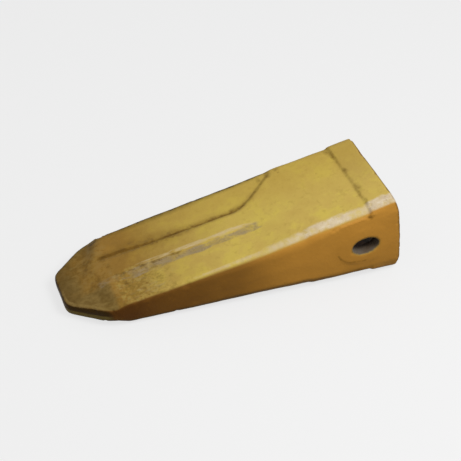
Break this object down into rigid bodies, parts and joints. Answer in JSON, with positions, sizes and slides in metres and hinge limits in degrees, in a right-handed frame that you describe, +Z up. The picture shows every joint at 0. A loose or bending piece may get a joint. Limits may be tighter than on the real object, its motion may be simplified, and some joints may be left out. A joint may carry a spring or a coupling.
{
  "type": "rock bucket tooth",
  "caption": "Cast steel bucket tooth: a ribbed chisel blade running back into a tapered socket with a raised collar and an oval cross pin bore.",
  "frame": {"origin": "middle of the bounding box in X and Y, on the plane the tooth lies on", "axes": "+X from the tip towards the mouth, +Y across the tooth, +Z up; the tooth lies on its lower face, so its parting plane is tilted 6.4 degrees about Y"},
  "size_m": [0.2784, 0.102, 0.0754],
  "materials": {
    "paint": "thin matt yellow paint on an as-cast steel surface, worn to bare metal along the raised edges"
  },
  "bodies": {
    "root": {"tooth": "paint"}
  },
  "joints": []
}
